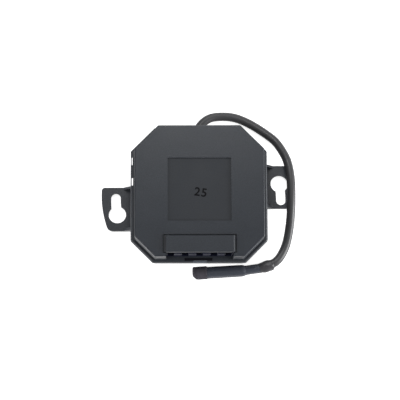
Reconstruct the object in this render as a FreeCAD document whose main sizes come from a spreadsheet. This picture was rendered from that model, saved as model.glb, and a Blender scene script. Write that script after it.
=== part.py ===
import FreeCAD
import Part
import Sketcher

import math
import os
import re

# Radio receiver module for a round wall box, in millimetres.
# It lies on its back: z = 0 is the rear face, +Z points out of the front cover and +Y away from the wire
# entries. The origin is the centre of the two keyholes, which lie on a circle of 60 mm.

doc = FreeCAD.newDocument("radio_receiver_module")

# Driving dimensions.
# Outline of the housing. A corner leg is the length that a 45 degree corner takes off each side.
HOUSING = {
    "rim_size": 48.95,
    "side_ledge": 1.6,
    "end_ledge": 1.1,
    "corner_leg_top": 8.35,
    "corner_leg_low": 7.1,
    "top_corner_lip": 0.45,
    "corner_round": 0.5,
    "rim_corner_round": 1,
    "rim_edge_round": 0.8,
    "face_edge_round": 0.45,
    "tray_wall": 1.5,
    "tray_inset": 1.15,
    "floor_wall": 1.6,
    "rim_level": 10.5,
    "rim_thickness": 1.8,
    "cover_wall": 1.5,
    "face_wall": 1.6,
    "tongue_width": 0.8,
    "tongue_rise": 1.2,
    "fit_gap": 0.15,
}
# Fixing lugs with keyholes, and what the rim carries.
FIXING = {
    "screw_circle": 60,
    "lug_margin": 5.2,
    "lug_thickness": 2,
    "lug_arc_y": 1.4,
    "left_lug_near": 4.25,
    "left_lug_far": 11.6,
    "right_lug_near": 3.45,
    "right_lug_far": 12.2,
    "lug_near_round": 1.2,
    "lug_far_round": 2.4,
    "keyhole_head_radius": 3.15,
    "keyhole_slot_radius": 1.75,
    "keyhole_head_angle": 10.8,
    "keyhole_slot_angle": 0.9,
    "rib_thickness": 0.85,
    "rib_length": 3.7,
    "rib_height": 6,
    "rib_tip_height": 0.4,
    "slit_length": 2.9,
    "slit_edge": 0.4,
    "upper_slit_width": 0.3,
    "upper_slit_y": 12.2,
    "lower_slit_width": 0.5,
    "lower_slit_y": 4.8,
    "latch_slot_length": 9.9,
    "latch_slot_width": 0.65,
    "latch_slot_depth": 1.5,
    "latch_slot_edge": 0.8,
    "latch_slot_x": -0.3,
    "pry_tab_length": 4.75,
    "pry_tab_width": 0.75,
    "pry_tab_rise": 0.25,
    "pry_tab_front": 0.85,
    "pry_tab_x": 0.4,
}
# Recess in the face, and the opening for the terminal cover.
FACE = {
    "recess_size": 22.4,
    "recess_depth": 0.45,
    "recess_y": 0.4,
    "opening_width": 25.9,
    "opening_depth": 6.45,
    "opening_margin": 1.3,
    "window_width": 23.7,
    "lid_gap": 0.15,
    "lid_rise": 1,
    "lid_taper": 0.9,
    "lid_edge_round": 0.3,
    "lid_leg_width": 2.4,
    "lid_leg_thickness": 0.6,
    "lid_leg_length": 3,
    "lid_leg_spacing": 15.24,
}
# Circuit board and its supports.
BOARD = {
    "board_level": 6.4,
    "board_thickness": 1.6,
    "board_gap": 0.3,
    "inner_height": 12.4,
    "part_gap": 0.8,
    "case_round": 0.5,
    "post_radius": 2.2,
    "post_inset": 5.9,
    "board_screw_radius": 0.9,
    "board_screw_head_radius": 1.8,
    "board_screw_head_height": 1.3,
    "board_screw_depth": 3.4,
    "pin_radius": 0.45,
    "pin_length": 3,
}
# One terminal: screw, rising cage and the bar that the wire is clamped to.
TERMINAL = {
    "pole_pitch": 5.08,
    "block_end_wall": 0.6,
    "block_front_wall": 1.65,
    "block_rear_wall": 1.7,
    "block_lid_thickness": 0.8,
    "cage_width": 3.6,
    "cage_depth": 3.4,
    "cage_bar": 0.6,
    "cage_top_bar": 0.9,
    "cage_side": 0.4,
    "cage_gap": 0.1,
    "cage_travel": 1.8,
    "wire_space": 2.6,
    "bar_thickness": 0.6,
    "bar_width": 2.2,
    "screw_radius": 1,
    "screw_head_radius": 1.15,
    "screw_head_height": 1,
    "screw_slot_width": 0.4,
    "screw_slot_depth": 0.4,
    "thread_gap": 0.05,
    "driver_hole_radius": 0.95,
    "entry_width": 2.3,
    "entry_recess": 0.9,
    "entry_nose": 0.5,
}
# Parts on the circuit board.
PARTS = {
    "relay_width": 9.4,
    "relay_length": 19.6,
    "relay_height": 10.2,
    "relay_gap": 1,
    "dropper_width": 5.6,
    "dropper_length": 12.4,
    "dropper_height": 10,
    "varistor_radius": 3.4,
    "varistor_thickness": 3,
    "varistor_foot_width": 4.08,
    "fuse_width": 7.8,
    "fuse_depth": 3.8,
    "fuse_height": 7.2,
    "bridge_width": 6,
    "bridge_depth": 4.2,
    "bridge_height": 2.6,
    "smoothing_radius": 3.7,
    "smoothing_height": 10.2,
    "regulator_radius": 2.2,
    "regulator_height": 4.6,
    "regulator_flat": 1.1,
    "regulator_leg_pitch": 1.32,
    "chip_size": 6.4,
    "chip_height": 1.2,
    "resistor_length": 3,
    "resistor_width": 1.5,
    "resistor_height": 0.55,
    "diode_radius": 0.7,
    "diode_length": 3.4,
    "diode_pitch": 2.2,
    "radio_width": 17.4,
    "radio_depth": 8.4,
    "radio_thickness": 1,
    "radio_level": 2.8,
    "radio_pin_pitch": 2,
    "can_width": 9.6,
    "can_depth": 6.4,
    "can_height": 2.6,
    "can_wall": 0.25,
    "crystal_width": 2.5,
    "crystal_depth": 4.6,
    "crystal_height": 1.8,
}
# Push button in the rear face, its switch, and the lamp beside it.
BUTTON = {
    "button_x": 8.6,
    "button_y": 12.3,
    "button_radius": 2,
    "button_gap": 0.1,
    "button_recess": 0.4,
    "button_flange_radius": 2.7,
    "button_travel": 0.5,
    "switch_size": 5.6,
    "switch_height": 3,
    "stem_radius": 1.5,
    "stem_rise": 0.7,
    "stem_depth": 1.2,
    "lamp_radius": 1.5,
    "lamp_height": 1.4,
    "lamp_gap": 0.2,
    "lamp_recess": 0.2,
    "lamp_collar_height": 0.6,
}
# Aerial lead and its tip.
LEAD = {
    "lead_diameter": 3,
    "core_radius": 0.5,
    "core_pad_y": 12.6,
    "pocket_width": 6.8,
    "pocket_height": 7,
    "pocket_wall": 1.2,
    "grommet_radius": 2.1,
    "grommet_flange_radius": 2.5,
    "grommet_flange_thickness": 0.6,
    "collar_radius": 2.15,
    "collar_end_radius": 1.6,
    "neck_radius": 1.68,
    "sleeve_radius": 2.05,
    "sleeve_step": 0.9,
    "cap_radius": 2.2,
    "cap_length": 4.8,
    "cap_wall": 0.9,
}
SIZES = {**HOUSING, **FIXING, **FACE, **BOARD, **TERMINAL, **PARTS, **BUTTON, **LEAD}

sheet = doc.addObject("Spreadsheet::Sheet", "Sizes")
for row, (name, value) in enumerate(SIZES.items(), 1):
    sheet.set(f"A{row}", name)
    sheet.set(f"B{row}", str(value))
    sheet.setAlias(f"B{row}", name)
doc.recompute()

# The route of the aerial lead, from the grommet to the cut end inside its tip, chosen by hand from the
# photograph.
LEAD_ROUTE = [
    (-1.0, 19.22, 4.2),
    (-1.0, 23.17, 4.2),
    (0.5, 26.82, 4.0),
    (3.28, 29.6, 3.5),
    (6.93, 31.1, 2.8),
    (13.1, 31.1, 2.0),
    (19.3, 28.1, 1.6),
    (25.0, 24.4, 1.6),
    (29.7, 20.0, 2.1),
    (32.8, 13.3, 7.1),
    (33.5, -4.8, 7.1),
    (32.7, -13.7, 1.9),
    (31.6, -19.0, 1.6),
    (28.5, -23.0, 2.0),
    (23.8, -25.2, 2.2),
    (18.0, -26.15, 2.2),
    (8.0, -26.75, 2.25),
    (-1.0, -27.23, 2.25),
]
# Where the swelling, the neck and the rod of the tip start. The rod's line ends at the lead's last point.
SWELLING_START = (27.0, -23.65, 2.15)
NECK_START = (22.0, -25.4, 2.2)
ROD_START = (15.9, -26.26, 2.22)
# The shape of the swelling: shares of its length, and how far it stands out there between neck and full
# size.
COLLAR_SWELL = [(0.15, 0.6), (0.4, 1), (0.7, 1), (0.9, 0.5), (1, 0)]
EXIT_X, EXIT_Y, EXIT_Z = LEAD_ROUTE[0]

# Helpers. Every size is an expression of words from the sheet, so each piece follows its sizes.
WORD = re.compile(r"[a-z][a-z_]*[a-z]")
AXIS_TURN = {
    "x": FreeCAD.Rotation(FreeCAD.Vector(0, 1, 0), 90),
    "y": FreeCAD.Rotation(FreeCAD.Vector(1, 0, 0), -90),
    "z": FreeCAD.Rotation(),
}
NODES = []
# Points nearer to each other than this are the same.
SAME_PLACE = 0.001


def bound(text):
    """The expression with the sheet's name before each size."""
    return WORD.sub(lambda word: f"Sizes.{word[0]}" if word[0] in SIZES else word[0], str(text))


def number(text):
    """The value of an expression of sizes."""
    return float(sheet.evalExpression(bound(text)))


def bind(thing, prop, text):
    thing.setExpression(prop, bound(text))


def place(thing, spot):
    """Binds the corner or centre of a primitive to three expressions."""
    for axis, text in zip("xyz", spot):
        bind(thing, f".Placement.Base.{axis}", text)


def block(label, low, high):
    """A box between two opposite corners."""
    solid = doc.addObject("Part::Box", label)
    for prop, start, end in zip(("Length", "Width", "Height"), low, high):
        bind(solid, prop, f"({end}) - ({start})")
    place(solid, low)
    return solid


def rod(label, radius, start, length, axis="z"):
    """A cylinder from the centre of one end, along an axis."""
    solid = doc.addObject("Part::Cylinder", label)
    solid.Placement = FreeCAD.Placement(FreeCAD.Vector(), AXIS_TURN[axis])
    bind(solid, "Radius", radius)
    bind(solid, "Height", length)
    place(solid, start)
    return solid


def joined(label, solids):
    whole = doc.addObject("Part::MultiFuse", label)
    whole.Shapes = solids
    return whole


def group(label, solids):
    """Separate solids under one name."""
    whole = doc.addObject("Part::Compound", label)
    whole.Links = solids
    return whole


def cut(label, base, tools):
    """The base without the tools."""
    rest = doc.addObject("Part::Cut", label)
    rest.Base = base
    rest.Tool = tools[0] if len(tools) == 1 else joined(f"{label}_tools", tools)
    return rest


def rounded(label, base, radius, choose):
    """Rounds the edges that the choice accepts, by the middle and direction of each edge."""
    doc.recompute()
    size = number(radius)
    chosen = []
    for index, edge in enumerate(base.Shape.Edges, 1):
        middle = edge.valueAt((edge.FirstParameter + edge.LastParameter) / 2)
        if choose(edge, middle):
            chosen.append((index, size, size))
    smooth = doc.addObject("Part::Fillet", label)
    smooth.Base = base
    smooth.Edges = chosen
    return smooth


def upright(edge, middle):
    """True for a straight edge along Z."""
    return abs(edge.tangentAt(edge.FirstParameter).z) > 0.999


def node(piece):
    """Marks a finished piece, whose label names its file."""
    NODES.append(piece)
    return piece


def octagon(half_x, half_y, leg_top, leg_low):
    """Corner points of a rectangle with 45 degree corners."""
    return [
        (f"-({half_x})", f"({leg_low}) - ({half_y})"),
        (f"({leg_low}) - ({half_x})", f"-({half_y})"),
        (f"({half_x}) - ({leg_low})", f"-({half_y})"),
        (f"{half_x}", f"({leg_low}) - ({half_y})"),
        (f"{half_x}", f"({half_y}) - ({leg_top})"),
        (f"({half_x}) - ({leg_top})", f"{half_y}"),
        (f"({leg_top}) - ({half_x})", f"{half_y}"),
        (f"-({half_x})", f"({half_y}) - ({leg_top})"),
    ]


def rectangle(low_x, high_x, low_y, high_y):
    return [(low_x, low_y), (high_x, low_y), (high_x, high_y), (low_x, high_y)]


def outline(body, label, points, level):
    """A sketch of straight edges on the XY plane, lifted to a level."""
    sketch = body.newObject("Sketcher::SketchObject", label)
    plane = [item for item in body.Origin.OriginFeatures if item.Role == "XY_Plane"][0]
    sketch.AttachmentSupport = [(plane, "")]
    sketch.MapMode = "FlatFace"
    bind(sketch, ".AttachmentOffset.Base.z", level)
    spots = [FreeCAD.Vector(number(x), number(y), 0) for x, y in points]
    count = len(spots)
    for index in range(count):
        sketch.addGeometry(Part.LineSegment(spots[index], spots[(index + 1) % count]), False)
    for index in range(count):
        sketch.addConstraint(Sketcher.Constraint("Coincident", index, 2, (index + 1) % count, 1))
    for index, texts in enumerate(points):
        for kind, text, value in zip(("DistanceX", "DistanceY"), texts, spots[index]):
            row = sketch.addConstraint(Sketcher.Constraint(kind, -1, 1, index, 1, value))
            bind(sketch, f"Constraints[{row}]", text)
    return sketch


def pad(body, label, points, low, high):
    """Material between two levels inside an outline."""
    feature = body.newObject("PartDesign::Pad", label)
    feature.Profile = outline(body, f"{label}_outline", points, low)
    bind(feature, "Length", f"({high}) - ({low})")
    return feature


def pocket(body, label, points, low, high):
    """A pocket between two levels, cut downwards from the upper one."""
    doc.recompute()
    before = body.Shape.Volume
    feature = body.newObject("PartDesign::Pocket", label)
    feature.Profile = outline(body, f"{label}_outline", points, high)
    bind(feature, "Length", f"({high}) - ({low})")
    doc.recompute()
    if body.Shape.Volume > before - 1e-6:
        raise RuntimeError(f"{label} cut nothing")
    return feature


def soften(body, label, radius, choose):
    """A fillet on the edges that the choice accepts."""
    doc.recompute()
    base = body.Tip
    names = []
    for index, edge in enumerate(base.Shape.Edges, 1):
        middle = edge.valueAt((edge.FirstParameter + edge.LastParameter) / 2)
        if choose(edge, middle):
            names.append(f"Edge{index}")
    feature = body.newObject("PartDesign::Fillet", label)
    feature.Base = (base, names)
    bind(feature, "Radius", radius)
    return feature


# Levels and half widths that several pieces share.
RIM_TOP = "(rim_level + rim_thickness)"
BOARD_TOP = "(board_level + board_thickness)"
CEILING = f"({BOARD_TOP} + inner_height)"
FACE_LEVEL = f"({CEILING} + face_wall)"
CORNER_SHARE = "(2 - sqrt(2))"
RIM_HALF = "(rim_size / 2)"
COVER_X = f"({RIM_HALF} - side_ledge)"
COVER_Y = f"({RIM_HALF} - end_ledge)"
LIP_TO_LEG = "((side_ledge + end_ledge) * (1 - sqrt(2) / 2))"
RIM_LEG_TOP = f"(corner_leg_top + {LIP_TO_LEG} - top_corner_lip)"
RIM_LEG_LOW = f"(corner_leg_low + {LIP_TO_LEG})"
TRAY_HALF = f"({RIM_HALF} - tray_inset)"
TRAY_LEG_TOP = f"({RIM_LEG_TOP} - tray_inset * {CORNER_SHARE})"
TRAY_LEG_LOW = f"({RIM_LEG_LOW} - tray_inset * {CORNER_SHARE})"
HALL_HALF = f"({TRAY_HALF} - tray_wall)"
HALL_LEG_TOP = f"({TRAY_LEG_TOP} - tray_wall * {CORNER_SHARE})"
HALL_LEG_LOW = f"({TRAY_LEG_LOW} - tray_wall * {CORNER_SHARE})"


def inside_cover(margin):
    """The outline that lies a margin inside the cover's outer wall."""
    return octagon(
        f"{COVER_X} - ({margin})",
        f"{COVER_Y} - ({margin})",
        f"corner_leg_top - ({margin}) * {CORNER_SHARE}",
        f"corner_leg_low - ({margin}) * {CORNER_SHARE}",
    )


TONGUE_OUT = "cover_wall + fit_gap"
TONGUE_IN = f"{TONGUE_OUT} + tongue_width"
WINDOW_HALF = "(window_width / 2)"
OPENING_HALF = "(opening_width / 2)"
OPENING_FRONT = f"(opening_margin - {COVER_Y})"
OPENING_REAR = f"({OPENING_FRONT} + opening_depth)"

# Places on the circuit board that the housing has to follow.
BOARD_X = f"({COVER_X} - ({TONGUE_IN}) - board_gap)"
BOARD_Y = f"({COVER_Y} - ({TONGUE_IN}) - board_gap)"
BLOCK_HALF = "(2 * pole_pitch + cage_width / 2 + cage_gap + block_end_wall)"
POST_X = f"({BLOCK_HALF} + board_screw_head_radius + part_gap)"
POST_Y = f"({BOARD_Y} - post_inset)"
POSTS = [(f"{side_x} * {POST_X}", f"{side_y} * {POST_Y}") for side_x in (-1, 1) for side_y in (-1, 1)]
LAMP_X = "-button_x"
LUG_RADIUS = "(screw_circle / 2 + lug_margin)"
POCKET_HALF = "(pocket_width / 2)"
POCKET_BACK = f"({EXIT_Y} - grommet_flange_thickness)"
POCKET_INNER = f"({POCKET_BACK} - tray_wall)"


def tray():
    """The eight-sided tray with its rim and the tongue that centres the cover."""
    body = doc.addObject("PartDesign::Body", "tray")
    walls = octagon(TRAY_HALF, TRAY_HALF, TRAY_LEG_TOP, TRAY_LEG_LOW)
    rim = octagon(RIM_HALF, RIM_HALF, RIM_LEG_TOP, RIM_LEG_LOW)
    hall = octagon(HALL_HALF, HALL_HALF, HALL_LEG_TOP, HALL_LEG_LOW)
    tongue_top = f"{RIM_TOP} + tongue_rise"
    pad(body, "tray_walls", walls, "0", "rim_level")
    pad(body, "tray_rim", rim, "rim_level", RIM_TOP)
    soften(body, "tray_corners", "rim_corner_round", upright)
    soften(
        body,
        "rim_edge",
        "rim_edge_round",
        lambda edge, middle: abs(middle.z - number(RIM_TOP)) < SAME_PLACE,
    )
    pad(body, "tray_tongue", inside_cover(TONGUE_OUT), RIM_TOP, tongue_top)
    pocket(body, "tray_mouth", inside_cover(TONGUE_IN), "rim_level", tongue_top)
    pocket(body, "tray_hall", hall, "floor_wall", "rim_level")
    return body


def sector(label, inner, outer, start, sweep, low, high):
    """A part of a ring round the origin, from a start angle."""
    pieces = []
    for name, radius in (("outer", outer), ("inner", inner)):
        disc = doc.addObject("Part::Cylinder", f"{label}_{name}")
        bind(disc, "Radius", radius)
        bind(disc, "Height", f"({high}) - ({low})")
        bind(disc, "Angle", sweep)
        bind(disc, ".Placement.Base.z", low)
        bind(disc, ".Placement.Rotation.Angle", start)
        pieces.append(disc)
    return cut(label, pieces[0], pieces[1:])


def keyhole(label, low, high):
    """A round head and a slot that follows the screw circle, left of the origin."""
    radius = "(screw_circle / 2)"
    head_angle = "(180 + keyhole_head_angle)"
    slot_angle = "(180 - keyhole_slot_angle)"
    ends = []
    for name, size, angle in (
        ("head", "keyhole_head_radius", head_angle),
        ("slot_end", "keyhole_slot_radius", slot_angle),
    ):
        spot = (f"{radius} * cos({angle})", f"{radius} * sin({angle})", low)
        ends.append(rod(f"{label}_{name}", size, spot, f"({high}) - ({low})"))
    slot = sector(
        f"{label}_slot",
        f"{radius} - keyhole_slot_radius",
        f"{radius} + keyhole_slot_radius",
        slot_angle,
        f"{head_angle} - {slot_angle}",
        low,
        high,
    )
    return joined(label, ends + [slot])


def lug(label, turn):
    """A fixing lug with its keyhole and two stiffening ribs, turned about the origin."""
    near_edge, far_edge = f"{label}_near", f"{label}_far"
    disc = rod(f"{label}_disc", LUG_RADIUS, ("0", "lug_arc_y", "0"), "lug_thickness")
    strip = block(
        f"{label}_strip",
        (f"-{LUG_RADIUS} - 1", f"-{far_edge}", "0"),
        (f"tray_wall / 2 - {TRAY_HALF}", near_edge, "lug_thickness"),
    )
    plate = doc.addObject("Part::Common", f"{label}_plate")
    plate.Base = disc
    plate.Tool = strip

    def outer_corner(edge, middle):
        reach = math.hypot(middle.x, middle.y - number("lug_arc_y"))
        return upright(edge, middle) and reach > number(LUG_RADIUS) - SAME_PLACE

    def near_corner(edge, middle):
        return outer_corner(edge, middle) and middle.y > 0

    def far_corner(edge, middle):
        return outer_corner(edge, middle) and middle.y < SAME_PLACE - number(far_edge)

    near = rounded(f"{label}_near_corner", plate, "lug_near_round", near_corner)
    far = rounded(f"{label}_far_corner", near, "lug_far_round", far_corner)
    pieces = [far]
    for name, edge_y in (("near", f"{near_edge} - rib_thickness"), ("far", f"-{far_edge}")):
        rib = doc.addObject("Part::Wedge", f"{label}_{name}_rib")
        rib.Placement = FreeCAD.Placement(FreeCAD.Vector(), FreeCAD.Rotation(FreeCAD.Vector(0, 0, 1), 90))
        for prop, text in (
            ("Xmin", "0"),
            ("X2min", "0"),
            ("Xmax", "rib_thickness"),
            ("X2max", "rib_thickness"),
            ("Ymin", "-tray_wall / 2"),
            ("Ymax", "rib_length"),
            ("Zmin", "0"),
            ("Z2min", "0"),
            ("Zmax", "rib_height"),
            ("Z2max", "rib_tip_height"),
        ):
            bind(rib, prop, text)
        place(rib, (f"-{TRAY_HALF}", edge_y, "lug_thickness"))
        pieces.append(rib)
    hole = keyhole(f"{label}_keyhole", "-1", "lug_thickness + 1")
    whole = cut(label, joined(f"{label}_solid", pieces), [hole])
    whole.Placement = FreeCAD.Placement(FreeCAD.Vector(), FreeCAD.Rotation(FreeCAD.Vector(0, 0, 1), turn))
    return whole


def rim_cuts():
    """The two slits on the left, the latch slot at the bottom and the room for the terminal block."""
    low = "rim_level - 1"
    high = f"{RIM_TOP} + 1"
    slits = []
    for name in ("upper", "lower"):
        slits.append(
            block(
                f"{name}_slit",
                (f"slit_edge - {RIM_HALF}", f"{name}_slit_y - slit_length / 2", low),
                (f"slit_edge + {name}_slit_width - {RIM_HALF}", f"{name}_slit_y + slit_length / 2", high),
            )
        )
    latch = block(
        "latch_slot",
        (
            "latch_slot_x - latch_slot_length / 2",
            f"latch_slot_edge - {RIM_HALF}",
            f"{RIM_TOP} - latch_slot_depth",
        ),
        (
            "latch_slot_x + latch_slot_length / 2",
            f"latch_slot_edge + latch_slot_width - {RIM_HALF}",
            high,
        ),
    )
    notch = block(
        "tongue_notch",
        (f"-{BLOCK_HALF} - fit_gap", f"-{COVER_Y}", RIM_TOP),
        (f"{BLOCK_HALF} + fit_gap", f"-{BOARD_Y}", f"{RIM_TOP} + tongue_rise + 1"),
    )
    return slits + [latch, notch]


def pry_tab():
    """The tab with a sloping front that a thumb presses to free the cover."""
    tab = doc.addObject("Part::Wedge", "pry_tab")
    for prop, text in (
        ("Xmin", "0"),
        ("X2min", "0"),
        ("Xmax", "pry_tab_length"),
        ("X2max", "pry_tab_length"),
        ("Ymin", "0"),
        ("Ymax", "pry_tab_width"),
        ("Zmin", "0"),
        ("Z2min", "0"),
        ("Zmax", "pry_tab_front"),
        ("Z2max", "rim_thickness + pry_tab_rise"),
    ):
        bind(tab, prop, text)
    place(tab, ("pry_tab_x - pry_tab_length / 2", f"-{RIM_HALF}", "rim_level"))
    return tab


def base_shell():
    """The tray with its lugs and posts, the niche for the lead, and every hole in them."""
    posts = [
        rod("board_post", "post_radius", (x, y, "floor_wall"), "board_level - floor_wall") for x, y in POSTS
    ]
    pilots = [
        rod(
            "pilot_hole",
            "board_screw_radius",
            (x, y, "board_level - board_screw_depth"),
            "board_screw_depth + 1",
        )
        for x, y in POSTS
    ]
    pocket_left = f"{EXIT_X} - {POCKET_HALF}"
    pocket_right = f"{EXIT_X} + {POCKET_HALF}"
    niche = block(
        "lead_niche",
        (f"{pocket_left} - pocket_wall", POCKET_INNER, "0"),
        (f"{pocket_right} + pocket_wall", f"{TRAY_HALF} - tray_wall / 2", "pocket_height + pocket_wall"),
    )
    lugs = [lug("left_lug", 0), lug("right_lug", 180)]
    solid = joined("base_solid", [tray(), niche, pry_tab()] + lugs + posts)
    lead_pocket = block(
        "lead_pocket",
        (pocket_left, POCKET_BACK, "-1"),
        (pocket_right, f"{TRAY_HALF} + 1", "pocket_height"),
    )
    grommet_hole = rod(
        "grommet_hole", "grommet_radius", (EXIT_X, f"{POCKET_INNER} - 1", EXIT_Z), "tray_wall + 2", "y"
    )
    button_hole = rod(
        "button_hole", "button_radius + button_gap", ("button_x", "button_y", "-1"), "floor_wall + 2"
    )
    lamp_hole = rod("lamp_hole", "lamp_radius", (LAMP_X, "button_y", "-1"), "floor_wall + 2")
    cuts = pilots + rim_cuts() + [lead_pocket, grommet_hole, button_hole, lamp_hole]
    node(cut("base_shell", solid, cuts))


def front_cover():
    """The eight-sided front shell, open at the rear, with its recess, opening and window."""
    body = doc.addObject("PartDesign::Body", "front_cover")
    pad(body, "cover_block", inside_cover("0"), RIM_TOP, FACE_LEVEL)
    soften(body, "cover_corners", "corner_round", upright)
    soften(
        body,
        "cover_edge",
        "face_edge_round",
        lambda edge, middle: abs(middle.z - number(FACE_LEVEL)) < SAME_PLACE,
    )
    pocket(body, "cover_inside", inside_cover("cover_wall"), RIM_TOP, CEILING)
    recess_half = "(recess_size / 2)"
    recess = rectangle(
        f"-{recess_half}", recess_half, f"recess_y - {recess_half}", f"recess_y + {recess_half}"
    )
    pocket(body, "face_recess", recess, f"{FACE_LEVEL} - recess_depth", FACE_LEVEL)
    opening = rectangle(f"-{OPENING_HALF}", OPENING_HALF, OPENING_FRONT, OPENING_REAR)
    pocket(body, "terminal_opening", opening, f"{CEILING} - 1", FACE_LEVEL)
    window = rectangle(f"-{WINDOW_HALF}", WINDOW_HALF, f"-{COVER_Y} - 1", f"{OPENING_FRONT} + 1")
    pocket(body, "wire_window", window, RIM_TOP, FACE_LEVEL)
    node(body)


base_shell()
front_cover()

# Levels and depths of a terminal, measured down from the ceiling and in from the entry face.
LID_LOW = f"({CEILING} - block_lid_thickness)"
HEAD_LOW = f"({LID_LOW} - cage_gap - screw_head_height)"
CAGE_TOP = f"({HEAD_LOW} - cage_gap - cage_travel)"
BAR_TOP = f"({CAGE_TOP} - cage_top_bar - 2 * cage_gap)"
BAR_LOW = f"({BAR_TOP} - bar_thickness)"
CAGE_LOW = f"({BAR_LOW} - wire_space - cage_bar)"
CAVITY_LOW = f"({CAGE_LOW} - cage_gap)"
ENTRY_FACE = f"(cover_wall + fit_gap - {COVER_Y})"
CAVITY_FRONT = f"({ENTRY_FACE} + block_front_wall)"
CAVITY_REAR = f"({CAVITY_FRONT} + cage_depth + 2 * cage_gap)"
SCREW_Y = f"(({CAVITY_FRONT} + {CAVITY_REAR}) / 2)"
BAR_REAR = f"({CAVITY_REAR} + bar_thickness)"
BLOCK_REAR = f"({CAVITY_REAR} + block_rear_wall)"
POLES = [(index + 1, f"({index - 2} * pole_pitch)") for index in range(5)]
LID_LEGS = [f"({side} * lid_leg_spacing / 2)" for side in (-1, 1)]
LEG_REAR = f"({OPENING_REAR} - lid_gap)"
LEG_FRONT = f"({LEG_REAR} - lid_leg_thickness)"


def leg_notches(label):
    """Room behind the terminals for the two legs of the terminal cover."""
    half = "(lid_leg_width / 2 + fit_gap)"
    return [
        block(
            f"{label}_notch",
            (f"{x} - {half}", f"{LEG_FRONT} - fit_gap", f"{CEILING} - lid_leg_length - 1"),
            (f"{x} + {half}", f"{BLOCK_REAR} + 1", f"{CEILING} + 1"),
        )
        for x in LID_LEGS
    ]


def terminal_block():
    """The housing of the five terminals: it stands on the board and its front rests over the rim."""
    lower = block(
        "block_lower",
        (f"-{BLOCK_HALF}", f"-{BOARD_Y}", BOARD_TOP),
        (BLOCK_HALF, BLOCK_REAR, LID_LOW),
    )
    upper = block(
        "block_upper",
        (f"-{BLOCK_HALF}", ENTRY_FACE, RIM_TOP),
        (BLOCK_HALF, BLOCK_REAR, LID_LOW),
    )
    nose_half = f"({WINDOW_HALF} - fit_gap)"
    nose = block(
        "block_nose",
        (f"-{nose_half}", f"{ENTRY_FACE} - entry_nose", RIM_TOP),
        (nose_half, f"{ENTRY_FACE} + entry_recess", LID_LOW),
    )
    cuts = leg_notches("block")
    for index, x in POLES:
        half = "(cage_width / 2 + cage_gap)"
        cuts.append(
            block(
                "cage_cavity",
                (f"{x} - {half}", CAVITY_FRONT, CAVITY_LOW),
                (f"{x} + {half}", CAVITY_REAR, f"{CEILING} + 1"),
            )
        )
        cuts.append(
            block(
                "wire_entry",
                (f"{x} - entry_width / 2", f"{ENTRY_FACE} - 1", f"{RIM_TOP} + cage_bar"),
                (f"{x} + entry_width / 2", f"{CAVITY_FRONT} + 1", BAR_LOW),
            )
        )
        cuts.append(
            block(
                "entry_funnel",
                (f"{x} - entry_width / 2", f"{ENTRY_FACE} - 1", f"{RIM_TOP} + cage_bar"),
                (f"{x} + entry_width / 2", f"{ENTRY_FACE} + entry_recess", f"{LID_LOW} + 1"),
            )
        )
        cuts.append(
            block(
                "bar_slot",
                (f"{x} - bar_width / 2", f"{CAVITY_REAR} - 1", "board_level"),
                (f"{x} + bar_width / 2", BAR_REAR, f"{CEILING} + 1"),
            )
        )
    node(cut("terminal_block", joined("block_solid", [lower, upper, nose]), cuts))


def terminal_lid():
    """The plate that keeps the screws in, with a hole for the screwdriver over each."""
    plate = block("lid_plate", (f"-{BLOCK_HALF}", ENTRY_FACE, LID_LOW), (BLOCK_HALF, BLOCK_REAR, CEILING))
    holes = [
        rod("driver_hole", "driver_hole_radius", (x, SCREW_Y, f"{LID_LOW} - 1"), "block_lid_thickness + 2")
        for index, x in POLES
    ]
    node(cut("terminal_lid", plate, holes + leg_notches("lid")))


def terminal_screw(index, x):
    """Head, shank and slot. The shank runs through the cage and bears on the bar."""
    tip = f"{BAR_TOP} + thread_gap"
    shank = rod("shank", "screw_radius", (x, SCREW_Y, tip), f"{HEAD_LOW} + screw_head_height / 2 - ({tip})")
    head = rod("head", "screw_head_radius", (x, SCREW_Y, HEAD_LOW), "screw_head_height")
    top = f"{HEAD_LOW} + screw_head_height"
    slot = block(
        "driver_slot",
        (f"{x} - screw_head_radius - 1", f"{SCREW_Y} - screw_slot_width / 2", f"{top} - screw_slot_depth"),
        (f"{x} + screw_head_radius + 1", f"{SCREW_Y} + screw_slot_width / 2", f"{top} + 1"),
    )
    node(cut(f"terminal_screw_{index}", joined("screw_solid", [shank, head]), [slot]))


def clamp_cage(index, x):
    """The frame that the screw raises, so that its lower bar presses the wire to the fixed bar."""
    front = f"{CAVITY_FRONT} + cage_gap"
    rear = f"{CAVITY_REAR} - cage_gap"
    outer = block(
        "cage_outer",
        (f"{x} - cage_width / 2", front, CAGE_LOW),
        (f"{x} + cage_width / 2", rear, CAGE_TOP),
    )
    window = block(
        "cage_window",
        (f"{x} - cage_width / 2 + cage_side", f"{front} - 1", f"{CAGE_LOW} + cage_bar"),
        (f"{x} + cage_width / 2 - cage_side", f"{rear} + 1", f"{CAGE_TOP} - cage_top_bar"),
    )
    thread = rod(
        "cage_thread",
        "screw_radius + thread_gap",
        (x, SCREW_Y, f"{CAGE_TOP} - cage_top_bar - cage_gap"),
        "cage_top_bar + 2 * cage_gap",
    )
    node(cut(f"clamp_cage_{index}", outer, [window, thread]))


def terminal_pins():
    """The fixed bars, each bent down behind its cage and through the board."""
    pins = []
    for index, x in POLES:
        bar = block(
            "clamp_bar",
            (f"{x} - bar_width / 2", f"{CAVITY_FRONT} + cage_gap", BAR_LOW),
            (f"{x} + bar_width / 2", BAR_REAR, BAR_TOP),
        )
        tail = block(
            "bar_tail",
            (f"{x} - bar_width / 2", CAVITY_REAR, f"{BOARD_TOP} - pin_length"),
            (f"{x} + bar_width / 2", BAR_REAR, BAR_TOP),
        )
        pins.append(joined("terminal_pin", [bar, tail]))
    node(group("terminal_pins", pins))


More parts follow.
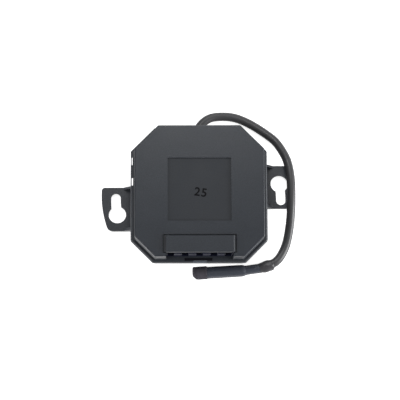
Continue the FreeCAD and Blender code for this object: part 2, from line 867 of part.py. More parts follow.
def terminal_cover():
    """The raised cover over the screws, with sloped sides and two legs behind the terminals."""
    body = doc.addObject("PartDesign::Body", "terminal_cover_block")
    half = f"({OPENING_HALF} - lid_gap)"
    front = f"({OPENING_FRONT} + lid_gap)"
    foot = rectangle(f"-{half}", half, front, LEG_REAR)
    top = rectangle(f"lid_taper - {half}", f"{half} - lid_taper", front, f"{LEG_REAR} - lid_taper / 2")
    pad(body, "cover_foot", foot, CEILING, FACE_LEVEL)
    loft = body.newObject("PartDesign::AdditiveLoft", "cover_slope")
    loft.Profile = outline(body, "slope_foot", foot, FACE_LEVEL)
    loft.Sections = [outline(body, "slope_top", top, f"{FACE_LEVEL} + lid_rise")]
    loft.Ruled = True
    soften(
        body,
        "cover_top_edge",
        "lid_edge_round",
        lambda edge, middle: middle.z > number(f"{FACE_LEVEL} + lid_rise") - SAME_PLACE,
    )
    legs = [
        block(
            "cover_leg",
            (f"{x} - lid_leg_width / 2", LEG_FRONT, f"{CEILING} - lid_leg_length"),
            (f"{x} + lid_leg_width / 2", LEG_REAR, f"{CEILING} + face_wall / 2"),
        )
        for x in LID_LEGS
    ]
    node(joined("terminal_cover", [body] + legs))


terminal_block()
terminal_lid()
for pole in POLES:
    terminal_screw(*pole)
    clamp_cage(*pole)
terminal_pins()
terminal_cover()

# Rows of parts on the board: the relays stand side by side behind the terminals, with a row of supply
# parts on each side of them and the radio board across the far end.
RELAY_OUTER = "(relay_gap / 2 + relay_width)"
ROW_X = f"(({RELAY_OUTER} + {BOARD_X}) / 2)"
ROW_START = f"(board_screw_head_radius + part_gap - {POST_Y})"
RELAY_START = f"({BLOCK_REAR} + part_gap)"
RELAY_END = f"({RELAY_START} + relay_length)"
RADIO_START = f"({RELAY_END} + 2 * part_gap)"
RADIO_LOW = f"({BOARD_TOP} + radio_level)"
RADIO_TOP = f"({RADIO_LOW} + radio_thickness)"
CAN_X = f"(can_width / 2 + part_gap - radio_width / 2)"
CORE_SPOT = (f"{EXIT_X}", "core_pad_y")
PIN_HOLES = []
# Each pin of a relay: its side across the case and its share of the case's length. Two are for the coil,
# two for the contacts and one for their common bar.
RELAY_PINS = [(-1, 0.1), (1, 0.1), (-1, 0.9), (1, 0.9), (0, 0.55)]
SIDES = (-1, 1)
# How far in from each end of a case its legs leave it, as a share of its length.
LEG_SHARES = (0.15, 0.85)


def pins(label, spots, top=BOARD_TOP, low=f"{BOARD_TOP} - pin_length"):
    """Round pins through the board, whose holes are noted for it."""
    PIN_HOLES.extend(spots)
    return [rod(label, "pin_radius", (x, y, low), f"({top}) - ({low})") for x, y in spots]


def relay(label, centre_x):
    """A sealed relay case with rounded upright corners."""
    case = block(
        f"{label}_case",
        (f"{centre_x} - relay_width / 2", RELAY_START, BOARD_TOP),
        (f"{centre_x} + relay_width / 2", RELAY_END, f"{BOARD_TOP} + relay_height"),
    )
    node(rounded(label, case, "case_round", upright))


def relays():
    centres = [f"({side} * (relay_gap + relay_width) / 2)" for side in (-1, 1)]
    for label, centre_x in zip(("relay_up", "relay_down"), centres):
        relay(label, centre_x)
    spots = []
    for centre_x in centres:
        for side_x, share in RELAY_PINS:
            x = f"{centre_x} + {side_x} * relay_width / 3"
            spots.append((x, f"{RELAY_START} + {share} * relay_length"))
    node(group("relay_pins", pins("relay_pin", spots)))


def legged(label, body, spots):
    """A part whose own legs go through the board."""
    node(joined(label, [body] + pins(f"{label}_leg", spots, f"{BOARD_TOP} + thread_gap")))


def supply_parts():
    """The right row: regulator, smoothing capacitor, bridge and fuse."""
    regulator_y = f"({ROW_START} + regulator_radius)"
    can = rod("regulator_can", "regulator_radius", (ROW_X, regulator_y, BOARD_TOP), "regulator_height")
    flat = block(
        "regulator_face",
        (f"{ROW_X} - 2 * regulator_radius", f"{regulator_y} + regulator_flat", f"{BOARD_TOP} - 1"),
        (
            f"{ROW_X} + 2 * regulator_radius",
            f"{regulator_y} + 2 * regulator_radius",
            f"{BOARD_TOP} + regulator_height + 1",
        ),
    )
    legs = [(f"{ROW_X} + {step} * regulator_leg_pitch", regulator_y) for step in (-1, 0, 1)]
    legged("voltage_regulator", cut("regulator_case", can, [flat]), legs)

    smoothing_y = f"({ROW_START} + 2 * regulator_radius + part_gap + smoothing_radius)"
    can = rod("smoothing_can", "smoothing_radius", (ROW_X, smoothing_y, BOARD_TOP), "smoothing_height")
    sleeve = rounded("smoothing_sleeve", can, "case_round", lambda edge, middle: len(edge.Vertexes) == 1)
    legs = [(f"{ROW_X} + {side} * smoothing_radius / 2", smoothing_y) for side in SIDES]
    legged("smoothing_capacitor", sleeve, legs)

    bridge_y = f"({smoothing_y} + smoothing_radius + part_gap)"
    case = block(
        "bridge_case",
        (f"{ROW_X} - bridge_width / 2", bridge_y, BOARD_TOP),
        (f"{ROW_X} + bridge_width / 2", f"{bridge_y} + bridge_depth", f"{BOARD_TOP} + bridge_height"),
    )
    legs = [
        (f"{ROW_X} + {side} * bridge_width / 3", f"{bridge_y} + bridge_depth * {share}")
        for side in SIDES
        for share in LEG_SHARES
    ]
    legged("bridge_rectifier", case, legs)

    fuse_y = f"({bridge_y} + bridge_depth + part_gap)"
    case = block(
        "fuse_case",
        (f"{ROW_X} - fuse_width / 2", fuse_y, BOARD_TOP),
        (f"{ROW_X} + fuse_width / 2", f"{fuse_y} + fuse_depth", f"{BOARD_TOP} + fuse_height"),
    )
    case = rounded("fuse_shell", case, "case_round", upright)
    legs = [(f"{ROW_X} + {side} * fuse_width / 3", f"{fuse_y} + fuse_depth / 2") for side in SIDES]
    legged("mains_fuse", case, legs)


def mains_parts():
    """The left row: dropper capacitor, surge varistor and the relays' two diodes."""
    left = f"(-{ROW_X})"
    case = block(
        "dropper_case",
        (f"{left} - dropper_width / 2", ROW_START, BOARD_TOP),
        (f"{left} + dropper_width / 2", f"{ROW_START} + dropper_length", f"{BOARD_TOP} + dropper_height"),
    )
    case = rounded("dropper_shell", case, "case_round", upright)
    legs = [(left, f"{ROW_START} + dropper_length * {share}") for share in LEG_SHARES]
    legged("dropper_capacitor", case, legs)

    varistor_y = f"({ROW_START} + dropper_length + part_gap)"
    disc_z = f"({BOARD_TOP} + varistor_radius)"
    disc = rod("varistor_disc", "varistor_radius", (left, varistor_y, disc_z), "varistor_thickness", "y")
    foot = block(
        "varistor_foot",
        (f"{left} - varistor_foot_width / 2", varistor_y, BOARD_TOP),
        (f"{left} + varistor_foot_width / 2", f"{varistor_y} + varistor_thickness", disc_z),
    )
    legs = [
        (f"{left} + {side} * varistor_radius / 2", f"{varistor_y} + varistor_thickness / 2") for side in SIDES
    ]
    legged("surge_varistor", joined("varistor_case", [disc, foot]), legs)

    diode_x = f"({left} - diode_length / 2)"
    diode_y = f"({varistor_y} + varistor_thickness + part_gap + diode_radius)"
    diode_z = f"({BOARD_TOP} + diode_radius)"
    spots = [(diode_x, f"{diode_y} + {step} * diode_pitch", diode_z) for step in range(2)]
    diodes = [rod("diode", "diode_radius", spot, "diode_length", "x") for spot in spots]
    node(group("relay_diodes", diodes))


def control_parts():
    """The controller and its resistors, flat on the board below the radio board."""
    chip_y = f"({RADIO_START} + part_gap)"
    chip_x = f"({POCKET_HALF} + pocket_wall + {EXIT_X})"
    case = block(
        "controller_chip",
        (chip_x, chip_y, BOARD_TOP),
        (f"{chip_x} + chip_size", f"{chip_y} + chip_size", f"{BOARD_TOP} + chip_height"),
    )
    node(case)
    resistors = []
    right = f"({EXIT_X} - core_radius - 3 * part_gap)"
    for step in range(3):
        start = f"({RADIO_START} + 2 * part_gap + pin_radius + {step} * (resistor_width + part_gap))"
        resistors.append(
            block(
                "chip_resistor",
                (f"{right} - resistor_length", start, BOARD_TOP),
                (right, f"{start} + resistor_width", f"{BOARD_TOP} + resistor_height"),
            )
        )
    node(group("chip_resistors", resistors))


def radio_parts():
    """The receiver: a small board on four pins, with a screening can and a crystal."""
    plate = block(
        "radio_plate",
        ("-radio_width / 2", RADIO_START, RADIO_LOW),
        ("radio_width / 2", f"{RADIO_START} + radio_depth", RADIO_TOP),
    )
    spots = [
        (f"2 * part_gap + {step} * radio_pin_pitch - radio_width / 2", f"{RADIO_START} + part_gap")
        for step in range(4)
    ]
    holes = [
        rod("radio_hole", "pin_radius + thread_gap", (x, y, f"{RADIO_LOW} - 1"), "radio_thickness + 2")
        for x, y in spots
    ]
    node(cut("radio_board", plate, holes))
    node(group("radio_pins", pins("radio_pin", spots, f"{RADIO_TOP} + thread_gap")))
    half = "can_width / 2"
    can_y = f"({RADIO_START} + radio_depth - part_gap - can_depth)"
    shell = block(
        "can_shell",
        (f"{CAN_X} - {half}", can_y, RADIO_TOP),
        (f"{CAN_X} + {half}", f"{can_y} + can_depth", f"{RADIO_TOP} + can_height"),
    )
    inside = block(
        "can_inside",
        (f"{CAN_X} - {half} + can_wall", f"{can_y} + can_wall", f"{RADIO_TOP} - 1"),
        (
            f"{CAN_X} + {half} - can_wall",
            f"{can_y} + can_depth - can_wall",
            f"{RADIO_TOP} + can_height - can_wall",
        ),
    )
    node(cut("radio_shield_can", shell, [inside]))
    crystal_x = f"({CAN_X} + {half} + part_gap)"
    case = block(
        "crystal_case",
        (crystal_x, can_y, RADIO_TOP),
        (f"{crystal_x} + crystal_width", f"{can_y} + crystal_depth", f"{RADIO_TOP} + crystal_height"),
    )
    node(rounded("radio_crystal", case, "case_round", upright))


def board_screws():
    screws = []
    for x, y in POSTS:
        shank = rod(
            "board_screw_shank",
            "board_screw_radius",
            (x, y, "board_level - board_screw_depth"),
            "board_screw_depth + board_thickness + board_screw_head_height / 2",
        )
        head = rod("screw_head", "board_screw_head_radius", (x, y, BOARD_TOP), "board_screw_head_height")
        screws.append(joined("board_screw", [shank, head]))
    node(group("board_screws", screws))


def circuit_board():
    """The board, cut out round the lead niche and drilled for all that goes through it."""
    body = doc.addObject("PartDesign::Body", "board_plate")
    pad(body, "board_pad", inside_cover(f"{TONGUE_IN} + board_gap"), "board_level", BOARD_TOP)
    margin = f"({POCKET_HALF} + pocket_wall + board_gap)"
    niche_room = block(
        "niche_room",
        (f"{EXIT_X} - {margin}", f"{POCKET_INNER} - grommet_flange_thickness - board_gap", "board_level - 1"),
        (f"{EXIT_X} + {margin}", f"{BOARD_Y} + 1", f"{BOARD_TOP} + 1"),
    )
    drill = "board_thickness + 2"
    low = "board_level - 1"
    cuts = [niche_room]
    cuts += [rod("pin_hole", "pin_radius + thread_gap", (x, y, low), drill) for x, y in PIN_HOLES]
    cuts += [rod("screw_hole", "board_screw_radius + thread_gap", (x, y, low), drill) for x, y in POSTS]
    cuts.append(rod("core_hole", "core_radius + thread_gap", CORE_SPOT + (low,), drill))
    cuts += [
        block(
            "bar_hole",
            (f"{x} - bar_width / 2 - thread_gap", f"{CAVITY_REAR} - thread_gap", low),
            (f"{x} + bar_width / 2 + thread_gap", f"{BAR_REAR} + thread_gap", f"{BOARD_TOP} + 1"),
        )
        for index, x in POLES
    ]
    node(cut("circuit_board", body, cuts))


relays()
supply_parts()
mains_parts()
control_parts()
radio_parts()
board_screws()
circuit_board()

STEM_LOW = "(board_level - switch_height - stem_rise)"


def pairing_button():
    """A push button in the rear face. It lifts the switch stem and the switch springs it back."""
    flange_height = f"({STEM_LOW} - floor_wall)"
    cap = rod(
        "button_cap",
        "button_radius",
        ("button_x", "button_y", "button_recess"),
        f"floor_wall - button_recess + {flange_height} / 2",
    )
    flange = rod("flange", "button_flange_radius", ("button_x", "button_y", "floor_wall"), flange_height)
    node(joined("pairing_button", [cap, flange]))
    node(rod("switch_stem", "stem_radius", ("button_x", "button_y", STEM_LOW), "stem_rise + stem_depth"))
    half = "switch_size / 2"
    case = block(
        "switch_case",
        (f"button_x - {half}", f"button_y - {half}", "board_level - switch_height"),
        (f"button_x + {half}", f"button_y + {half}", "board_level"),
    )
    room = rod(
        "stem_room",
        "stem_radius + button_gap",
        ("button_x", "button_y", "board_level - switch_height - 1"),
        "stem_depth + button_travel + button_gap + 1",
    )
    node(cut("pairing_switch", case, [room]))


def lamp():
    """The status lamp under the board and the clear rod that brings its light to the rear face."""
    top = "board_level - lamp_height"
    node(rod("status_led", "lamp_radius", (LAMP_X, "button_y", top), "lamp_height"))
    pipe = rod(
        "pipe_rod", "lamp_radius", (LAMP_X, "button_y", "lamp_recess"), f"{top} - lamp_gap - lamp_recess"
    )
    collar = rod("collar", "button_flange_radius", (LAMP_X, "button_y", "floor_wall"), "lamp_collar_height")
    node(joined("light_pipe", [pipe, collar]))


pairing_button()
lamp()


def bend_radius(before, corner, after):
    """The largest radius that the two runs beside a corner allow, and the length that it takes of each."""
    turn = (corner - before).getAngle(after - corner)
    reach = 0.45 * min((corner - before).Length, (after - corner).Length)
    return reach / math.tan(turn / 2), reach


def route_path(name, route):
    """Straight runs joined by tangent arcs, and the length of the whole."""
    spots = [FreeCAD.Vector(*spot) for spot in route]
    edges = []
    start = spots[0]
    for before, corner, after in zip(spots, spots[1:], spots[2:]):
        radius, reach = bend_radius(before, corner, after)
        into = (corner - before).normalize()
        out = (after - corner).normalize()
        entry = corner - into * reach
        leave = corner + out * reach
        bisector = (out - into).normalize()
        half = into.getAngle(out) / 2
        middle = corner + bisector * (radius / math.cos(half) - radius)
        edges.append(Part.LineSegment(start, entry).toShape())
        edges.append(Part.Arc(entry, middle, leave).toShape())
        start = leave
        print(f"{name} bend radius {radius:.1f} mm, run {(after - corner).Length:.1f} mm")
    edges.append(Part.LineSegment(start, spots[-1]).toShape())
    return Part.Wire(edges)


def tube(label, route, diameter):
    """A round tube along a route."""
    path = route_path(label, route)
    first, second = FreeCAD.Vector(*route[0]), FreeCAD.Vector(*route[1])
    ring = Part.Wire(Part.makeCircle(diameter / 2, first, second - first))
    shape = path.makePipeShell([ring], True, False)
    expected = math.pi * diameter**2 / 4 * path.Length
    print(f"{label} length {path.Length:.1f} mm, volume {shape.Volume:.1f} of {expected:.1f} mm3")
    shaped(label, shape)


def turned(radii, start, direction):
    """A round solid along a direction, from pairs of distance and radius joined by straight sides."""
    spots = [FreeCAD.Vector(0, 0, radii[0][0])]
    spots += [FreeCAD.Vector(radius, 0, distance) for distance, radius in radii]
    spots.append(FreeCAD.Vector(0, 0, radii[-1][0]))
    profile = Part.Face(Part.makePolygon(spots + spots[:1]))
    solid = profile.revolve(FreeCAD.Vector(), FreeCAD.Vector(0, 0, 1), 360)
    turn = FreeCAD.Rotation(FreeCAD.Vector(0, 0, 1), direction)
    solid.Placement = FreeCAD.Placement(start, turn)
    return solid


def shaped(label, shape):
    piece = doc.addObject("Part::Feature", label)
    piece.Shape = shape
    node(piece)


def grommet():
    """A rubber bush with a flange on each side of the niche wall, moulded round the lead's core."""
    thickness = "grommet_flange_thickness"
    bush = rod("grommet_bush", "grommet_radius", (EXIT_X, POCKET_INNER, EXIT_Z), "tray_wall", "y")
    outer = rod("grommet_outer", "grommet_flange_radius", (EXIT_X, POCKET_BACK, EXIT_Z), thickness, "y")
    inner_y = f"{POCKET_INNER} - {thickness}"
    inner = rod("grommet_inner", "grommet_flange_radius", (EXIT_X, inner_y, EXIT_Z), thickness, "y")
    bore = rod("grommet_bore", "core_radius", (EXIT_X, f"{POCKET_INNER} - 1", EXIT_Z), "tray_wall + 3", "y")
    node(cut("lead_grommet", joined("grommet_body", [bush, outer, inner]), [bore]))


def lead():
    """The lead itself, its bare core inside the housing, and the rod, neck and swelling of its tip."""
    tube("antenna_lead", LEAD_ROUTE, number("lead_diameter"))
    pad_y = number("core_pad_y")
    pad_top = number(f"{BOARD_TOP} + cage_gap")
    core_route = [LEAD_ROUTE[0], (EXIT_X, pad_y, EXIT_Z), (EXIT_X, pad_y, pad_top)]
    tube("lead_core", core_route, 2 * number("core_radius"))

    swelling, neck, rod_start, rod_end = [
        FreeCAD.Vector(*spot) for spot in (SWELLING_START, NECK_START, ROD_START, LEAD_ROUTE[-1])
    ]
    end_radius, radius = number("collar_end_radius"), number("collar_radius")
    neck_radius = number("neck_radius")
    collar_line = neck - swelling
    profile = [
        (collar_line.Length * share, neck_radius + (radius - neck_radius) * swell)
        for share, swell in COLLAR_SWELL
    ]
    shaped("aerial_collar", turned([(0, end_radius)] + profile, swelling, collar_line))

    tip_line = rod_end - rod_start
    cap_length, cap_radius = number("cap_length"), number("cap_radius")
    sleeve_length = tip_line.Length + number("cap_wall") - cap_length
    step, sleeve_radius = number("sleeve_step"), number("sleeve_radius")
    rod_profile = [(-step, neck_radius), (0, sleeve_radius), (sleeve_length, sleeve_radius)]
    neck_line = rod_start - neck
    neck_profile = [(-step, neck_radius), (neck_line.Length, neck_radius)]
    neck_solid = turned(neck_profile, neck, neck_line)
    shaped("aerial_sleeve", turned(rod_profile, rod_start, tip_line).fuse(neck_solid))

    cap_start = rod_start + tip_line * (sleeve_length / tip_line.Length)
    shaped("aerial_end_cap", turned([(0, cap_radius), (cap_length, cap_radius)], cap_start, tip_line))


grommet()
lead()

# Every object is sound before anything is written.
doc.recompute()
for item in doc.Objects:
    if {"Invalid", "Error"} & set(item.State):
        raise RuntimeError(f"{item.Label} failed: {item.State}")
for piece in NODES:
    if piece.Shape.isNull() or not piece.Shape.isValid():
        raise RuntimeError(f"{piece.Label} has no sound shape")

os.makedirs("parts", exist_ok=True)
for piece in NODES:
    piece.Shape.exportStep(f"parts/{piece.Label}.step")
    print(f"{piece.Label}: {piece.Shape.Volume:.1f} mm3, solids {len(piece.Shape.Solids)}")
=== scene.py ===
# %% [markdown]
# # Dressing a radio receiver module
# The object is a flat eight-sided plastic box, 45 mm across, that sits in a round wall box. A thin aerial
# lead leaves it at the top, runs round the right side and ends in a rod below the wire entries. The precise
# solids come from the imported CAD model. This lesson gives every solid a real finish and builds the soft and
# shrunken parts by hand, because they are what a precise solid does badly.

# %% Load the frame
import math

import bpy
from mathutils import Matrix, Vector


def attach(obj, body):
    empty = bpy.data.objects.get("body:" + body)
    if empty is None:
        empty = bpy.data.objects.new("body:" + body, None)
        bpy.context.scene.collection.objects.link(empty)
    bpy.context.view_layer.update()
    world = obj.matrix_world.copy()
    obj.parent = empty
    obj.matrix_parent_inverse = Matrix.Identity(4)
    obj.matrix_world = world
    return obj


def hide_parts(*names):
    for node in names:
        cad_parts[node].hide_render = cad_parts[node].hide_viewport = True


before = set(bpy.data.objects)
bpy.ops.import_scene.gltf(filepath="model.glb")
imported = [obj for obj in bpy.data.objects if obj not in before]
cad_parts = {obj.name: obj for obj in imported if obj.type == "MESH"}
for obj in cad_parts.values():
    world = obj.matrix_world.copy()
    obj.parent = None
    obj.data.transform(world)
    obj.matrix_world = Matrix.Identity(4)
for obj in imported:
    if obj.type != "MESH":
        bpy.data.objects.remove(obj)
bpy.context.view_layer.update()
MM = 0.001
print("CAD nodes:", len(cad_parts))

# %% [markdown]
# ## Camera
# The photograph looks almost straight down, tilted nine degrees towards the wire entries. A camera can be
# placed by eye, but here its place was worked out from points that can be named on the object: the two
# keyholes, the five entries and the corners of the housing. The distance matters as much as the angle: it
# sets how much smaller the rear rim looks than the face.

# %% Camera
TILT_TO_ENTRIES = math.radians(9.1)
TILT_TO_LEFT = math.radians(1.2)
ROLL = math.radians(-0.3)
CAMERA_DISTANCE = 587 * MM
LOOK_AT = Vector((0.6, 0, 0)) * MM
FOCAL_SHARE = 1609 / 400  # focal length over the width of the picture, both in pixels
SENSOR_WIDTH = 36
NEAREST_SEEN = 0.01
FARTHEST_SEEN = 10

back = Vector((
    -math.sin(TILT_TO_LEFT),
    -math.sin(TILT_TO_ENTRIES) * math.cos(TILT_TO_LEFT),
    math.cos(TILT_TO_ENTRIES) * math.cos(TILT_TO_LEFT),
))
level_right = Vector((0, 1, 0)).cross(back).normalized()
level_up = back.cross(level_right)
right = math.cos(ROLL) * level_right + math.sin(ROLL) * level_up
up = math.cos(ROLL) * level_up - math.sin(ROLL) * level_right

bpy.ops.object.camera_add(location=LOOK_AT + CAMERA_DISTANCE * back)
camera = bpy.context.object
camera.name = "photo_camera"
camera.rotation_euler = Matrix((right, up, back)).transposed().to_euler()
camera.data.sensor_width = SENSOR_WIDTH
camera.data.lens = SENSOR_WIDTH * FOCAL_SHARE
camera.data.clip_start = NEAREST_SEEN
camera.data.clip_end = FARTHEST_SEEN
bpy.context.scene.camera = camera
print("lens", round(camera.data.lens, 1), "mm, camera", [round(c / MM, 1) for c in camera.location])

# %% [markdown]
# ## Small tools
# An operator works on whatever is selected, so each step starts from an empty selection. A turned part is
# drawn as a ring that is extruded and scaled along its axis, which is how a lathe profile grows by hand. A
# finished piece has its place put into its mesh, as the CAD nodes have.

# %% Small tools
TURNED_SIDES = 48
SHARP_EDGE = math.radians(40)


def only(*things):
    """Selects these objects and nothing else; the first one becomes active."""
    bpy.ops.object.select_all(action="DESELECT")
    for thing in things:
        thing.select_set(True)
    bpy.context.view_layer.objects.active = things[0]


def settle(thing):
    """Puts the place of an object into its mesh, so that the object is left at the origin."""
    only(thing)
    bpy.ops.object.transform_apply(location=True, rotation=True, scale=True)


def turned(name, profile, start, direction):
    """A closed round piece from pairs of distance and radius, in millimetres, along a direction."""
    along = direction.normalized()
    bpy.ops.object.select_all(action="DESELECT")
    distance, radius = profile[0]
    bpy.ops.mesh.primitive_circle_add(
        vertices=TURNED_SIDES,
        radius=radius * MM,
        fill_type="NGON",
        location=start + along * distance * MM,
        rotation=along.to_track_quat("Z", "Y").to_euler(),
    )
    piece = bpy.context.object
    piece.name = name
    bpy.ops.object.mode_set(mode="EDIT")
    bpy.ops.mesh.select_all(action="SELECT")
    for (before, old), (after, new) in zip(profile, profile[1:]):
        step = along * (after - before) * MM
        bpy.ops.mesh.extrude_region_move(TRANSFORM_OT_translate={"value": step})
        centre = start + along * after * MM
        bpy.ops.transform.resize(value=(new / old,) * 3, center_override=centre)
    bpy.ops.mesh.select_all(action="SELECT")
    bpy.ops.mesh.normals_make_consistent(inside=False)
    bpy.ops.object.mode_set(mode="OBJECT")
    settle(piece)
    return piece


def smooth(piece):
    """Shades a piece smoothly, apart from its sharp edges."""
    only(piece)
    bpy.ops.object.shade_smooth_by_angle(angle=SHARP_EDGE)


print("tools: only, settle, turned, smooth")

# %% [markdown]
# ## Shared effects for the materials
# Moulded plastic is never one flat colour: the mould's fine spark-eroded grain scatters the light, and the
# gloss changes a little over the surface where the melt cooled. A picture of the grain could be wrapped round
# each piece, but noise on the object's own coordinates needs no unwrapping and stays with a piece that moves.
# One group makes the grain for every plastic and rubber piece, and another makes the drawn lines of plated
# metal. Each gives out only a colour, a roughness and a height, and the shader stays in the material.

# %% Helpers for shader nodes
def new_group(name, inputs):
    """An empty shader group with named inputs, and a colour, a roughness and a height to give out."""
    group = bpy.data.node_groups.new(name, "ShaderNodeTree")
    for title, kind, value in inputs:
        socket = group.interface.new_socket(name=title, in_out="INPUT", socket_type=kind)
        socket.default_value = value
    group.interface.new_socket(name="Color", in_out="OUTPUT", socket_type="NodeSocketColor")
    group.interface.new_socket(name="Roughness", in_out="OUTPUT", socket_type="NodeSocketFloat")
    group.interface.new_socket(name="Height", in_out="OUTPUT", socket_type="NodeSocketFloat")
    return group, group.nodes.new("NodeGroupInput"), group.nodes.new("NodeGroupOutput")


def feed(tree, socket, value):
    """Gives a socket a plain number, or a link from the socket that makes the value."""
    if isinstance(value, (int, float)):
        socket.default_value = value
    else:
        tree.links.new(value, socket)


def add_noise(tree, vector, scale, detail):
    noise = tree.nodes.new("ShaderNodeTexNoise")
    noise.inputs["Detail"].default_value = detail
    tree.links.new(vector, noise.inputs["Vector"])
    feed(tree, noise.inputs["Scale"], scale)
    return noise.outputs["Fac"]


def add_math(tree, operation, first, second):
    node = tree.nodes.new("ShaderNodeMath")
    node.operation = operation
    feed(tree, node.inputs[0], first)
    feed(tree, node.inputs[1], second)
    return node.outputs["Value"]


def spread_about(tree, noise, middle, spread):
    """The middle value, moved up or down by the noise within the spread."""
    shift = add_math(tree, "MULTIPLY", add_math(tree, "SUBTRACT", noise, 0.5), spread)
    return add_math(tree, "ADD", shift, middle)


def tinted(tree, color, share):
    """The colour made lighter or darker by a share about 1."""
    mix = tree.nodes.new("ShaderNodeVectorMath")
    mix.operation = "SCALE"
    tree.links.new(color, mix.inputs[0])
    tree.links.new(share, mix.inputs["Scale"])
    return mix.outputs["Vector"]


print("helpers: new_group, feed, add_noise, add_math, spread_about, tinted")

# %% [markdown]
# The grain is two noises. The fine one is the grain itself: it lifts the surface and flecks the colour. The
# wide one is the cloud that the cooling melt leaves, and it changes the colour and the gloss slowly.

# %% Moulded grain
GRAIN_GLOSS_SPREAD = 0.14


def build_grain():
    tree, given, out = new_group("moulded_grain", [
        ("Color", "NodeSocketColor", (0.5, 0.5, 0.5, 1)),
        ("Roughness", "NodeSocketFloat", 0.5),
        ("Grain Scale", "NodeSocketFloat", 6000),
        ("Cloud Scale", "NodeSocketFloat", 90),
        ("Variation", "NodeSocketFloat", 0.15),
        ("Fleck", "NodeSocketFloat", 0.3),
    ])
    place = tree.nodes.new("ShaderNodeTexCoord").outputs["Object"]
    grain = add_noise(tree, place, given.outputs["Grain Scale"], detail=2)
    cloud = add_noise(tree, place, given.outputs["Cloud Scale"], detail=3)
    share = spread_about(tree, cloud, 1, given.outputs["Variation"])
    fleck = spread_about(tree, grain, 1, given.outputs["Fleck"])
    both = add_math(tree, "MULTIPLY", share, fleck)
    tree.links.new(tinted(tree, given.outputs["Color"], both), out.inputs["Color"])
    rough = spread_about(tree, cloud, given.outputs["Roughness"], GRAIN_GLOSS_SPREAD)
    tree.links.new(rough, out.inputs["Roughness"])
    tree.links.new(grain, out.inputs["Height"])
    return tree


GRAIN = build_grain()
print("group:", GRAIN.name)

# %% [markdown]
# Plated strip and pins show fine lines along the way they were drawn. Noise that is squeezed much more across
# the lines than along them gives such lines, and a second, plain noise stains the plating.

# %% Drawn lines
LINE_SQUEEZE = (1, 9, 3)
STAIN_SCALE = 400
LINE_GLOSS_SPREAD = 0.25


def build_drawn_lines():
    tree, given, out = new_group("drawn_lines", [
        ("Color", "NodeSocketColor", (0.6, 0.6, 0.6, 1)),
        ("Roughness", "NodeSocketFloat", 0.3),
        ("Line Scale", "NodeSocketFloat", 900),
        ("Variation", "NodeSocketFloat", 0.2),
    ])
    place = tree.nodes.new("ShaderNodeTexCoord").outputs["Object"]
    squeeze = tree.nodes.new("ShaderNodeMapping")
    squeeze.inputs["Scale"].default_value = LINE_SQUEEZE
    tree.links.new(place, squeeze.inputs["Vector"])
    lines = add_noise(tree, squeeze.outputs["Vector"], given.outputs["Line Scale"], detail=2)
    stain = add_noise(tree, place, STAIN_SCALE, detail=2)
    share = spread_about(tree, stain, 1, given.outputs["Variation"])
    tree.links.new(tinted(tree, given.outputs["Color"], share), out.inputs["Color"])
    rough = spread_about(tree, lines, given.outputs["Roughness"], LINE_GLOSS_SPREAD)
    tree.links.new(rough, out.inputs["Roughness"])
    tree.links.new(lines, out.inputs["Height"])
    return tree


DRAWN_LINES = build_drawn_lines()
print("group:", DRAWN_LINES.name)

# %% [markdown]
# ## Materials
# Each finish is one Principled shader fed by one of the groups. Its bump is given in millimetres and is a few
# hundredths at most, because that is the real depth of a mould's grain. Blender reads it in metres.

# %% Material makers
METAL_BUMP = 0.01
METAL_VARIATION = 0.2


def surface(name, group, values, bump_mm, **shader):
    """A material whose colour, roughness and bump come from a group, and whose other values are constant."""
    material = bpy.data.materials.new(name)
    material.use_nodes = True
    tree = material.node_tree
    principled = tree.nodes["Principled BSDF"]
    effect = tree.nodes.new("ShaderNodeGroup")
    effect.node_tree = group
    for title, value in values.items():
        effect.inputs[title].default_value = value
    tree.links.new(effect.outputs["Color"], principled.inputs["Base Color"])
    tree.links.new(effect.outputs["Roughness"], principled.inputs["Roughness"])
    bump = tree.nodes.new("ShaderNodeBump")
    bump.inputs["Distance"].default_value = bump_mm * MM
    tree.links.new(effect.outputs["Height"], bump.inputs["Height"])
    tree.links.new(bump.outputs["Normal"], principled.inputs["Normal"])
    for title, value in shader.items():
        principled.inputs[title].default_value = value
    return material


def plastic(name, color, roughness, bump_mm, variation=0.15, grain=6000, cloud=90, fleck=0.3, specular=0.5):
    """A moulded or dipped finish. The cloud and the grain are given as scales: more is finer."""
    values = {
        "Color": (*color, 1),
        "Roughness": roughness,
        "Grain Scale": grain,
        "Cloud Scale": cloud,
        "Variation": variation,
        "Fleck": fleck,
    }
    return surface(name, GRAIN, values, bump_mm, **{"Specular IOR Level": specular})


def metal(name, color, roughness, lines=900):
    """A drawn and plated finish."""
    values = {
        "Color": (*color, 1),
        "Roughness": roughness,
        "Line Scale": lines,
        "Variation": METAL_VARIATION,
    }
    return surface(name, DRAWN_LINES, values, METAL_BUMP, Metallic=1.0)


print("makers: surface, plastic, metal")

# %% [markdown]
# The housing is three greys of the same plastic. All are nearly black with a little blue, and they share one
# grain. Their colours were set by comparing patches of the render with the photograph, because a dark plastic
# that is guessed by eye comes out too grey. The parts inside can't be seen, so they have the finish that such
# parts usually have.

